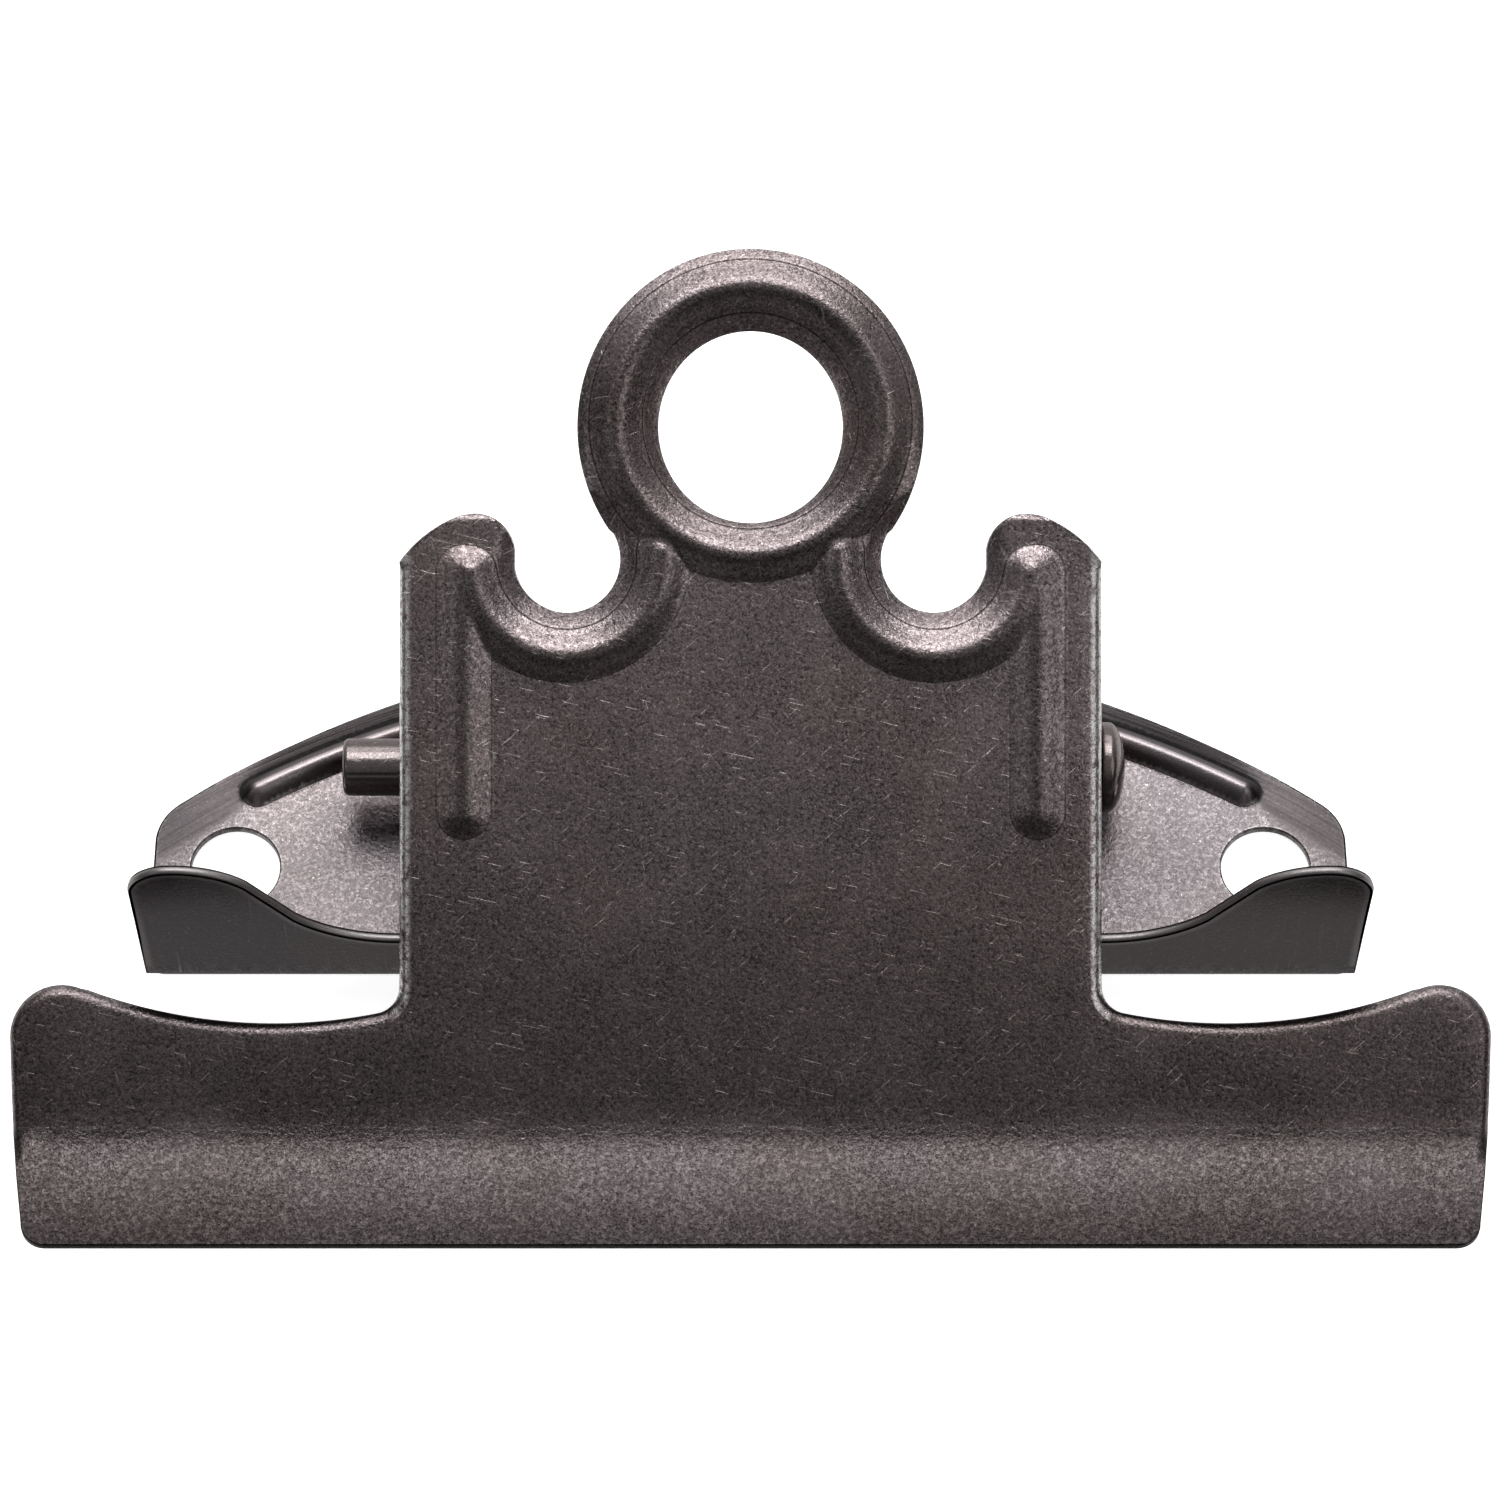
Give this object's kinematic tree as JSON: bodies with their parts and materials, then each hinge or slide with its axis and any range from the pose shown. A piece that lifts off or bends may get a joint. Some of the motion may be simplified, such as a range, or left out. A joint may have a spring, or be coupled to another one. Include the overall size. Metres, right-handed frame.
{
  "type": "clipboard clip",
  "caption": "Spring jaw clip for a writing board: base plate with paper stop, ribbed lever plate with hang ring and wide flared jaw, on a spring-loaded pin.",
  "frame": {"origin": "on the underside of the base plate, where it lies on the board, straight below the middle of the pin", "axes": "+X along the pin, towards its head; +Y along the board, towards the hang ring; +Z away from the board"},
  "size_m": [0.1524, 0.0933, 0.0437],
  "materials": {
    "base_steel": "antique black-nickel plate with a fine satin grain",
    "lever_steel": "antique black-nickel plate with a fine satin grain and light scratches",
    "pin_steel": "turned pin, antique black-nickel plate",
    "spring_steel": "drawn spring wire, lightly blackened"
  },
  "bodies": {
    "base": {"base_plate": "base_steel", "pivot_pin": "pin_steel", "torsion_spring": "spring_steel"},
    "lever": {"lever_plate": "lever_steel"}
  },
  "joints": [
    {"name": "lever_pivot", "type": "hinge", "parent": "base", "child": "lever", "pos_m": [0, 0, 0.008], "axis": [-1, 0, 0], "range_deg": [0, 42], "stiffness_Nm_per_rad": 0.7, "springref_deg": -80.21, "deforming": ["torsion_spring"]}
  ]
}
